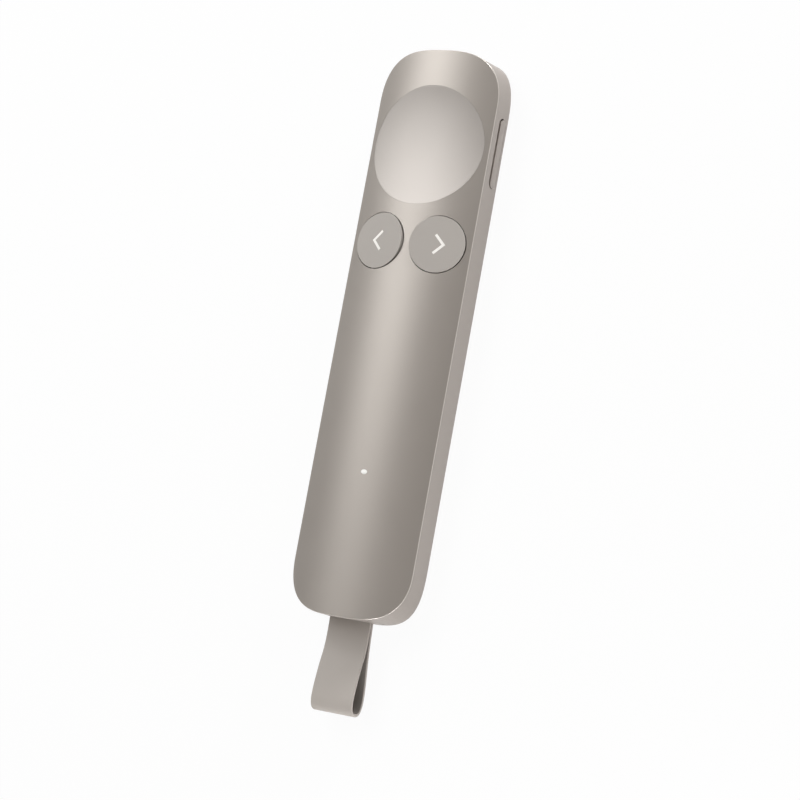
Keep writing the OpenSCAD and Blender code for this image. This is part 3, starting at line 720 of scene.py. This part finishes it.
# inset and x of each ring, from the shelf out to the face and round its edge
KEY_FACE = ((KEY_BACK, SHELF_X), (KEY_BACK, 14.86), (0.0, 14.9), (0.0, 14.95),
            (0.02, 14.98), (0.07, HALF_W))
SIDE_STEM_X, SIDE_STEM_L = 12.87, 0.6


def side_key_bar():
    flange = stadium(KEY_L + KEY_FLANGE, KEY_W + KEY_FLANGE)
    shelf = stadium(KEY_L + 2 * (KEY_GAP - SHELF_GAP),
                    KEY_W + KEY_LIFT + 2 * (KEY_GAP - SHELF_GAP))
    rings = [facing_x(flange, x) for x in FLANGE_SPAN]
    rings += [facing_x(shelf, x, z=SLOT_Z) for x in (FLANGE_SPAN[1], SHELF_X)]
    for inset, x in KEY_FACE:
        face = stadium(KEY_L - KEY_SHORT - 2 * inset, KEY_W - KEY_TRIM - 2 * inset)
        rings.append(facing_x(face, x, z=KEY_Z - KEY_DROP))
    return pill("side_bar", rings)


side_bar = side_key_bar()
stem = rod("side_stem", STEM_R, 0.0, SIDE_STEM_L)
stem.data.transform(Matrix.Translation(Vector((SIDE_STEM_X, KEY_Y, KEY_Z)) * MM)
                    @ Matrix.Rotation(math.pi / 2, 4, "Y"))
weld_on(side_bar, stem)
soften(side_bar)
place(side_bar, "side_button", "shell_satin", "side_key")

# %% [markdown]
# The receiver and its strap
#
# The receiver's case fills the bay, and its outer end carries the tail's own curve, so it
# closes flush. The strap's two ends are pinned in a slot there. The strap could be a curve
# with a bevel, but here it is one sweep of a rounded strip along a smooth line, out on one
# leg, round the end and back on the other, so that its inner side can be marked for a
# painted shade.

# %% Receiver's case
RX_INNER = -48.05
# how far each ring of the outer end lies in from the outline and inside the tail's wall
RX_END = ((0.0, 0.2), (0.0, 0.1), (0.03, 0.03), (0.1, 0.0))
STRAP_SLOT = ((-5.26, -66.0, 3.26), (5.26, -59.19, 5.26))
PLUG_ROOM = ((-6.5, -57.25, 3.0), (6.5, -46.0, 6.0))


def end_reach(outline, x):
    half_l, end, across, along = outline
    return half_l - end + end * (1 - (np.abs(x) / HALF_W) ** across) ** (1 / along)


def tail_wall(x, z):
    """How far the tail's wall reaches at a place on it."""
    top = arch(x, SEAM)
    share = (top - z) / (top - BACK_R)
    return -(1 - share) * end_reach(FACE_OUTLINE, x) - share * end_reach(REAR_OUTLINE, x)


def receiver_block():
    form = Surface()
    rings = [facing_y(stadium(BAY_W, BAY_H), RX_INNER)]
    for inset, back in RX_END:
        shape = stadium(BAY_W - 2 * inset, BAY_H - 2 * inset)
        rings.append(facing_y(shape, tail_wall(shape[:, 0], shape[:, 1] + BAY_Z) + back))
    loops = form.stack(rings)
    form.faces.append(tuple(loops[0]))
    end, half = loops[-1], len(loops[-1]) // 2
    # each round side is closed by bands from its lower points to its upper ones
    right, left = end[:half], end[half:]
    for i in range(half // 2):
        for side in (right, left):
            band = side[i], side[i + 1], side[half - 2 - i], side[half - 1 - i]
            corners = tuple(dict.fromkeys(band))
            if len(corners) > 2:
                form.faces.append(corners)
    form.faces.append((right[0], right[-1], left[0], left[-1]))
    case = form.solid("receiver_block")
    cut_away(case, block("strap_slot", *STRAP_SLOT), block("plug_room", *PLUG_ROOM))
    return case


receiver_case = receiver_block()
soften(receiver_case)
place(receiver_case, "receiver", "shell_satin", "receiver_case")

# %% Strap
STRAP_W, STRAP_T, STRAP_RINGS = 10.4, 0.62, 260
INNER_FACE = 4                   # the side of the strip's section that looks into the loop
# distance along the body and height of the strap's middle line, out, round and back in
STRAP_LINE = [(-59.4, 4.86), (-62.5, 4.8), (-65.2, 4.5), (-67.6, 4.44), (-69.9, 4.48),
              (-72.2, 4.76), (-74.6, 5.36), (-77.2, 5.86), (-80.0, 6.26), (-82.7, 6.44),
              (-84.6, 5.75), (-85.15, 4.1), (-84.6, 2.45), (-82.6, 1.7), (-80.0, 1.78),
              (-77.0, 2.2), (-74.0, 2.72), (-71.0, 3.16), (-68.0, 3.45), (-65.2, 3.66),
              (-62.5, 3.94), (-59.4, 4.14)]


def rounded(points, times=4):
    """Corner cutting: each pass replaces a corner by two points nearer its sides."""
    for _ in range(times):
        a, b = points[:-1], points[1:]
        cut = np.stack([0.75 * a + 0.25 * b, 0.25 * a + 0.75 * b], axis=1).reshape(-1, 2)
        points = np.vstack([points[:1], cut, points[-1:]])
    return points


def strip_section(width, thick, corner=0.16, steps=4):
    """A flat strip's cross-section, its four corners rounded."""
    section = []
    for cx, cn, start in ((1, 1, 0), (-1, 1, 90), (-1, -1, 180), (1, -1, 270)):
        for k in range(steps + 1):
            a = math.radians(start + 90 * k / steps)
            section.append((cx * (width / 2 - corner) + corner * math.cos(a),
                            cn * (thick / 2 - corner) + corner * math.sin(a)))
    return section


def strap_loop():
    line = rounded(np.array(STRAP_LINE))
    run = np.append(0.0, np.cumsum(np.hypot(*np.diff(line, axis=0).T)))
    even = np.linspace(0, run[-1], STRAP_RINGS)
    y, z = np.interp(even, run, line[:, 0]), np.interp(even, run, line[:, 1])
    dy, dz = np.gradient(y), np.gradient(z)
    size = np.hypot(dy, dz)
    ny, nz = -dz / size, dy / size
    form = Surface()
    section = strip_section(STRAP_W, STRAP_T)
    rings = [[(x, y[i] + n * ny[i], z[i] + n * nz[i]) for x, n in section] for i in range(len(y))]
    loops = form.stack(rings)
    form.faces += [tuple(loops[0]), tuple(loops[-1])]
    print("strap, along its middle line:", round(float(run[-1]), 1), "mm")
    return form.solid("strap_loop")


pull_loop = strap_loop()
soften(pull_loop)
place(pull_loop, "receiver", "strap_rubber", "pull_strap")

# %% [markdown]
# Writing finishes as expressions
#
# A finish is a small graph of nodes. Linked one by one, even a short sum is hard to read.
# So a socket is wrapped in a class whose operators add Math nodes, and `grain * 0.2 + 0.4`
# is written as it is thought. Any other node comes from one method, which sets the node's
# settings and then its sockets.

# %% Shader values
class Value:
    """A number socket that can be used in arithmetic."""

    def __init__(self, finish, socket):
        self.finish, self.socket = finish, socket

    def math(self, operation, a, b=0.0):
        return self.finish.add("ShaderNodeMath", {"operation": operation}, {0: a, 1: b})

    def __add__(self, other):
        return self.math("ADD", self, other)

    def __sub__(self, other):
        return self.math("SUBTRACT", self, other)

    def __rsub__(self, other):
        return self.math("SUBTRACT", other, self)

    def __mul__(self, other):
        return self.math("MULTIPLY", self, other)

    def above(self, level):
        return self.math("GREATER_THAN", self, level)

    __radd__, __rmul__ = __add__, __mul__


class Finish:
    """A material or a world whose nodes are written from Python."""

    def __init__(self, name, kind="Material"):
        owners = bpy.data.worlds if kind == "World" else bpy.data.materials
        self.owner = owners.new(name)
        self.owner.use_nodes = True
        self.tree = self.owner.node_tree
        self.tree.nodes.clear()
        self.output = self.tree.nodes.new("ShaderNodeOutput" + kind)

    def feed(self, socket, value):
        if isinstance(value, Value):
            self.tree.links.new(value.socket, socket)
        elif value is not None:
            socket.default_value = value

    def add(self, kind, settings=None, sockets=None, out=0):
        node = self.tree.nodes.new(kind)
        for key, value in (settings or {}).items():
            if key == "stops":
                while len(node.color_ramp.elements) < len(value):
                    node.color_ramp.elements.new(0.5)
                for stop, (at, colour) in zip(node.color_ramp.elements, value):
                    stop.position, stop.color = at, colour
            else:
                setattr(node, key, value)
        for key, value in (sockets or {}).items():
            self.feed(node.inputs[key], value)
        return Value(self, node.outputs[out])

    def spot(self, scale=(1, 1, 1)):
        """A point's place on the piece in millimetres, stretched by scale."""
        own = self.add("ShaderNodeTexCoord", out="Object")
        return self.add("ShaderNodeVectorMath", {"operation": "MULTIPLY"},
                        {0: own, 1: tuple(s / MM for s in scale)})

    def noise(self, size_mm, detail=2.0, stretch=(1, 1, 1)):
        """Smooth noise from 0 to 1 whose grains are about size_mm wide."""
        return self.add("ShaderNodeTexNoise", {},
                        {"Vector": self.spot(stretch), "Scale": 1 / size_mm, "Detail": detail})

    def blend(self, mask, a, b):
        """Colour a where the mask is 0 and colour b where it is 1."""
        return self.add("ShaderNodeMix", {"data_type": "RGBA"},
                        {0: mask, 6: self.colour(a), 7: self.colour(b)}, out=2)

    @staticmethod
    def colour(c):
        return c if isinstance(c, Value) else (*c, 1.0)

    def bump(self, height, depth_mm):
        return self.add("ShaderNodeBump", {},
                        {"Height": height, "Distance": depth_mm * MM, "Strength": 1.0})

    def show(self, shader):
        self.tree.links.new(shader.socket, self.output.inputs["Surface"])
        return self.owner

    def done(self, sockets):
        return self.show(self.add("ShaderNodeBsdfPrincipled", {}, sockets))


def dress(piece, material):
    """Every material slot of the piece takes the finish."""
    if not piece.material_slots:
        piece.data.materials.append(material)
    for slot in piece.material_slots:
        slot.material = material
    print(piece.name, "wears", material.name)


# %% [markdown]
# Satin greige
#
# The mouldings are sprayed with a satin pearl paint: soft broad gloss, a fine grain that
# you only see up close, and a warm grey that differs a little from moulding to moulding.
# One plain colour would look like bare plastic, so two grains are mixed, one the size of
# the paint's flakes and one for the slow unevenness of a sprayed coat. The face's bevel is
# smoother than the paint and paler; the paler colour is a painted highlight along the edge.

# %% Satin paint
def satin(name, colour, metallic, roughness, grain=0.03, depth=0.0015):
    f = Finish(name)
    flakes = f.noise(0.12, detail=1.0)
    coat = f.noise(6.0, detail=3.0)
    lighter = tuple(min(1.0, c * (1 + grain)) for c in colour)
    darker = tuple(c * (1 - grain) for c in colour)
    return f.done({
        "Base Color": f.blend(flakes * 0.6 + coat * 0.4, darker, lighter),
        "Metallic": metallic,
        "Roughness": (flakes - 0.5) * 0.08 + (coat - 0.5) * 0.04 + roughness,
        "Normal": f.bump(flakes, depth),
    })


FACE_COLOUR = (0.378, 0.3435, 0.313)
DISH_COLOUR = (0.350, 0.321, 0.298)
WALL_COLOUR = (0.372, 0.333, 0.305)
DISC_COLOUR = (0.42, 0.389, 0.36)
# the bevel's colour is paler than the face's: a painted highlight along the edge
EDGE_HIGHLIGHT_COLOUR = (0.60, 0.555, 0.515)
face_paint = satin("face_paint", FACE_COLOUR, 0.5, 0.42)
dish_paint = satin("dish_paint", DISH_COLOUR, 0.5, 0.42)
wall_paint = satin("wall_paint", WALL_COLOUR, 0.2, 0.46)
disc_paint = satin("disc_paint", DISC_COLOUR, 0.15, 0.6)
for piece, paint in ((arched_face, face_paint), (dish_button, dish_paint), (tray, wall_paint),
                     (side_bar, wall_paint), (receiver_case, wall_paint),
                     (back_disc, disc_paint), (next_disc, disc_paint)):
    dress(piece, paint)
# the bevel's smoother finish is its own, its paler colour a painted highlight
arched_face.material_slots[1].material = satin("edge_painted_highlight", EDGE_HIGHLIGHT_COLOUR, 0.4, 0.34)

# %% [markdown]
# Pale inlays and the light
#
# The chevrons are off-white mouldings with a matt skin. The status light is milky plastic
# with a smooth gloss. Light let through the pipe would need a lit diode under it and many
# samples, so a faint glow of its own stands for the light that such plastic gathers.

# %% Inlays and light pipe
def inlay_white():
    f = Finish("inlay_white")
    cloud = f.noise(0.6, detail=2.0)
    return f.done({"Base Color": f.blend(cloud, (0.92, 0.89, 0.85), (0.97, 0.94, 0.90)),
                   "Roughness": cloud * 0.1 + 0.45, "Normal": f.bump(cloud, 0.002)})


def milky_pipe():
    f = Finish("milky_pipe")
    cloud = f.noise(0.4, detail=2.0)
    return f.done({"Base Color": f.blend(cloud, (0.80, 0.79, 0.76), (0.88, 0.87, 0.85)),
                   "Roughness": cloud * 0.08 + 0.22, "IOR": 1.49,
                   "Emission Color": (1.0, 0.97, 0.93, 1.0), "Emission Strength": 0.12,
                   "Normal": f.bump(cloud, 0.001)})


for inlay in chevrons:
    dress(inlay, inlay_white())
dress(pipe, milky_pipe())

# %% [markdown]
# Strap rubber
#
# The strap is soft silicone: no gloss to speak of, a velvety sheen at grazing angles, and a
# very fine matt texture. The side that looks into the loop lies in the loop's shade and is much
# darker, so that side is marked and takes a darker colour without the sheen: painted shade.

# %% Strap finish
def strap_silicone(name, dark, pale, sheen):
    f = Finish(name)
    skin = f.noise(0.09, detail=2.0)
    bloom = f.noise(5.0, detail=3.0)
    return f.done({"Base Color": f.blend(bloom, dark, pale),
                   "Roughness": skin * 0.1 + 0.62, "Sheen Weight": sheen,
                   "Sheen Roughness": 0.4, "Normal": f.bump(skin, 0.004)})


dress(pull_loop,
      strap_silicone("strap_outside", (0.465, 0.425, 0.39), (0.495, 0.455, 0.42), 0.15))
# the side that looks into the loop takes a darker colour: painted shade from the loop
pull_loop.data.materials.append(
    strap_silicone("strap_inside_painted_shade", (0.27, 0.245, 0.225), (0.29, 0.265, 0.245), 0.0))
faces_per_ring = len(strip_section(STRAP_W, STRAP_T))
for face in pull_loop.data.polygons[:-2]:        # all but its two ends
    if face.index % faces_per_ring == INNER_FACE:
        face.material_index = 1

# %% [markdown]
# Working parts inside
#
# The pieces inside keep their CAD shapes, as does the laser's window in the nose. They could
# be modelled anew, but they hardly show until the receiver is out. Each gets the finish of
# what it is made of: glass fibre board with copper runs under green lacquer, wrinkled foil
# round the cell, brushed plated steel, brass, ceramic, foam, black moulded plastic and a
# dark window. The record's slots say which piece gets which.

# %% Inner finishes
def laminate():
    f = Finish("laminate")
    weave = f.add("ShaderNodeTexWave", {"bands_direction": "DIAGONAL"},
                  {"Vector": f.spot(), "Scale": 0.55, "Distortion": 3.0, "Detail": 1.0}, out=1)
    runs = weave.above(0.62)
    return f.done({"Base Color": f.blend(runs, (0.012, 0.075, 0.035), (0.03, 0.16, 0.075)),
                   "Roughness": runs * -0.08 + 0.36, "Coat Weight": 0.4,
                   "Normal": f.bump(runs, 0.02)})


def foil():
    f = Finish("foil")
    creases = f.noise(1.6, detail=4.0)
    return f.done({"Base Color": f.blend(creases, (0.50, 0.51, 0.53), (0.66, 0.67, 0.69)),
                   "Metallic": 0.9, "Roughness": creases * 0.2 + 0.28,
                   "Normal": f.bump(creases, 0.05)})


def foam():
    f = Finish("foam")
    cells = f.add("ShaderNodeTexVoronoi", {}, {"Vector": f.spot(), "Scale": 2.5})
    return f.done({"Base Color": f.blend(cells, (0.018, 0.018, 0.018), (0.05, 0.05, 0.05)),
                   "Roughness": 0.95, "Normal": f.bump(cells, 0.08)})


def plated(name, colour, roughness, stretch):
    f = Finish(name)
    brush = f.noise(0.15, detail=3.0, stretch=stretch)
    return f.done({"Base Color": f.blend(brush, tuple(c * 0.9 for c in colour), colour),
                   "Metallic": 1.0, "Roughness": brush * 0.14 + roughness,
                   "Normal": f.bump(brush, 0.002)})


def moulded(name, colour, roughness, size_mm=0.25, depth=0.008):
    f = Finish(name)
    spark = f.noise(size_mm, detail=3.0)
    return f.done({"Base Color": f.blend(spark, tuple(c * 0.85 for c in colour), colour),
                   "Roughness": spark * 0.16 + roughness, "Normal": f.bump(spark, depth)})


def dark_window():
    f = Finish("dark_window")
    tint = f.noise(1.0, detail=1.0)
    return f.done({"Base Color": f.blend(tint, (0.012, 0.006, 0.007), (0.022, 0.01, 0.011)),
                   "Roughness": tint * 0.03 + 0.06, "IOR": 1.49, "Coat Weight": 0.5})


SLOT_FINISHES = {
    "frame_plastic": moulded("frame_plastic", (0.05, 0.05, 0.054), 0.5),
    "board_laminate": laminate(), "cell_foil": foil(), "pad_foam": foam(),
    "window_dark": dark_window(),
    "plated_steel": plated("plated_steel", (0.40, 0.405, 0.415), 0.42, (1, 0.12, 1)),
    "ceramic": moulded("ceramic", (0.72, 0.68, 0.60), 0.42, size_mm=0.1, depth=0.002),
    "laser_brass": plated("laser_brass", (0.72, 0.50, 0.22), 0.24, (1, 1, 0.12)),
}
slots = {row["node"]: row["material_slot"] for row in frame["record"]["subparts"]}
for node, slot in slots.items():
    if slot in SLOT_FINISHES:
        dress(frame["nodes"][node], SLOT_FINISHES[slot])
print("inner finishes on", sum(s in SLOT_FINISHES for s in slots.values()), "nodes")

# %% [markdown]
# Floor and light
#
# The photograph is a cut-out on pure white. A brighter light would whiten the floor but
# wash out the clicker too. So the floor's material shows itself nearly white to the camera
# and in reflections, and still takes a faint shadow. One long, slightly cool soft box up
# and to the left makes the bright band along the arch, and weaker boxes round the nose and
# tail fill the walls. The world is white at the horizon and dim overhead, which leaves the
# face dark beside its band.

# %% Floor
FLOOR_HALF, FLOOR_Z = 6.0, -0.05 * MM    # metres
FLOOR_WHITE = 0.95               # how white it turns for the camera and in reflections


def studio_floor():
    f = Finish("studio_floor")
    path = {name: f.add("ShaderNodeLightPath", out=name)
            for name in ("Is Camera Ray", "Is Glossy Ray", "Is Transmission Ray")}
    seen = path["Is Camera Ray"] + path["Is Glossy Ray"] + path["Is Transmission Ray"]
    lit = f.add("ShaderNodeBsdfDiffuse", {}, {"Color": (0.82, 0.82, 0.82, 1.0)})
    glow = f.add("ShaderNodeEmission", {}, {"Color": (1, 1, 1, 1), "Strength": 1.0})
    mixed = f.add("ShaderNodeMixShader", {}, {0: seen * FLOOR_WHITE, 1: lit, 2: glow})
    return f.show(mixed)


def add_floor():
    mesh = bpy.data.meshes.new("studio_floor")
    mesh.from_pydata([(x * FLOOR_HALF, y * FLOOR_HALF, 0.0) for x, y in
                      ((-1, -1), (1, -1), (1, 1), (-1, 1))], [], [(0, 1, 2, 3)])
    floor = bpy.data.objects.new("studio_floor", mesh)
    bpy.context.collection.objects.link(floor)
    floor.location.z = FLOOR_Z
    mesh.materials.append(studio_floor())
    return floor


floor = add_floor()
print("floor at", round(floor.location.z / MM, 3), "mm")

# %% World
# how far up a direction points, and the light that comes from there
SKY = [(0.0, (1, 1, 1, 1)), (0.12, (0.85, 0.85, 0.85, 1)), (0.3, (0.22, 0.213, 0.206, 1)),
       (1.0, (0.23, 0.213, 0.196, 1))]


def studio_world():
    f = Finish("studio_world", kind="World")
    ray = f.add("ShaderNodeTexCoord", out="Generated")
    up = f.add("ShaderNodeSeparateXYZ", {}, {0: ray}, out="Z")
    sky = f.add("ShaderNodeValToRGB", {"stops": SKY}, {0: up})
    return f.show(f.add("ShaderNodeBackground", {}, {"Color": sky, "Strength": 1.0}))


bpy.context.scene.world = studio_world()
print("world:", bpy.context.scene.world.name)


# %% Lamps
def soft_box(name, place_mm, aim_mm, size_mm, watts, colour=(1, 1, 1)):
    lamp = bpy.data.lights.new(name, "AREA")
    lamp.shape = "RECTANGLE"
    lamp.size, lamp.size_y = (s * MM for s in size_mm)
    lamp.energy, lamp.color = watts, colour
    box = bpy.data.objects.new(name, lamp)
    bpy.context.collection.objects.link(box)
    # the box faces its aim, and its second side runs along the clicker
    back = (Vector(place_mm) - Vector(aim_mm)).normalized()
    along = (Vector((0, 1, 0)) - back * back.y).normalized()
    turn = Matrix((along.cross(back), along, back)).transposed().to_4x4()
    box.matrix_world = Matrix.Translation(Vector(place_mm) * MM) @ turn
    print(name, "gives", watts, "W from", place_mm)


soft_box("band_box", (-448, 419, 736), (0, 0, 0), (480, 800), 5.5, colour=(0.98, 1.0, 1.012))
soft_box("nose_box", (-130, 620, 420), (0, 20, 0), (640, 300), 0.65)
soft_box("left_box", (-420, 560, 330), (0, 40, 5), (300, 300), 0.7)
soft_box("nose_corner_box", (235, 560, 130), (10, 50, 5), (160, 120), 2.4)
soft_box("tail_box", (100, -600, 60), (0, -40, 5), (300, 100), 1.65)
soft_box("tail_corner_box", (135, -175, 45), (10, -55, 5), (60, 50), 0.07)

# %% [markdown]
# Hand over
# The view transform
# The view transform is Standard, so colours come out as written.

# %% View transform
bpy.context.scene.view_settings.view_transform = "Standard"
